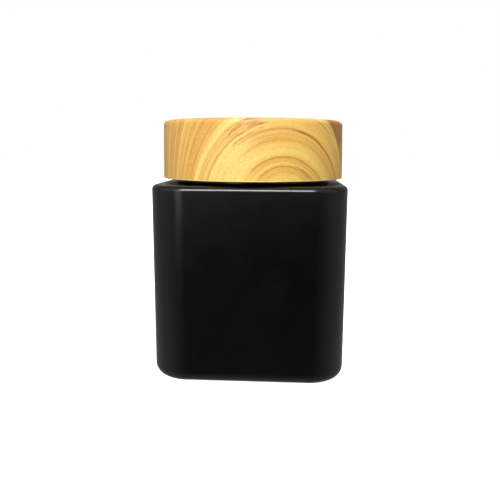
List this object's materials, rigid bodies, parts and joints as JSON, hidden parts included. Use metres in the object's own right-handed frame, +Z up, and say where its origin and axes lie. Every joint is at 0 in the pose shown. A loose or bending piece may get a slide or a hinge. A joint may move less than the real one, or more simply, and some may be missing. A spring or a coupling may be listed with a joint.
{
  "type": "square screw-top storage jar",
  "caption": "Square black glass jar with rounded corners, a round threaded neck and a smooth wood-grain push-and-turn screw closure with a foam liner.",
  "frame": {"origin": "middle of the square base, on the surface that the jar stands on, below the neck's axis", "axes": "+Z up along the neck and screw axis; -Y is the pictured front face, and the four faces lie along X and Y"},
  "size_m": [0.06, 0.06, 0.08],
  "materials": {
    "satin_black_glass": "satin",
    "wood_grain_print": "satin",
    "white_polypropylene": "satin",
    "polyethylene_foam": "matte"
  },
  "bodies": {
    "jar": {"glass_jar": "satin_black_glass"},
    "seal": {"foam_liner": "polyethylene_foam"},
    "inner_cap": {"inner_cap": "white_polypropylene"},
    "spring_fingers": {"spring_finger_1": "white_polypropylene", "spring_finger_2": "white_polypropylene", "spring_finger_3": "white_polypropylene", "spring_finger_4": "white_polypropylene", "spring_finger_5": "white_polypropylene", "spring_finger_6": "white_polypropylene", "spring_finger_7": "white_polypropylene", "spring_finger_8": "white_polypropylene"},
    "outer_shell": {"outer_shell": "wood_grain_print"}
  },
  "joints": [
    {"name": "closure_rise", "type": "slide", "parent": "jar", "child": "seal", "axis": [0, 0, 1], "range_m": [0, 0.0255]},
    {"name": "closure_turn", "type": "hinge", "parent": "seal", "child": "inner_cap", "pos_m": [0, 0, 0.0617], "axis": [0, 0, 1], "range_deg": [0, 2160]},
    {"name": "free_spin", "type": "hinge", "parent": "inner_cap", "child": "spring_fingers", "pos_m": [0, 0, 0.0617], "axis": [0, 0, 1], "continuous": true},
    {"name": "press", "type": "slide", "parent": "spring_fingers", "child": "outer_shell", "axis": [0, 0, -1], "range_m": [0, 0.0012], "stiffness_N_per_m": 8000, "springref_m": -0.0006, "deforming": ["spring_finger_1", "spring_finger_2", "spring_finger_3", "spring_finger_4", "spring_finger_5", "spring_finger_6", "spring_finger_7", "spring_finger_8"]}
  ],
  "couplings": [
    {"joint": "closure_rise", "follows": "closure_turn", "m_per_rad": 0.00067375}
  ]
}
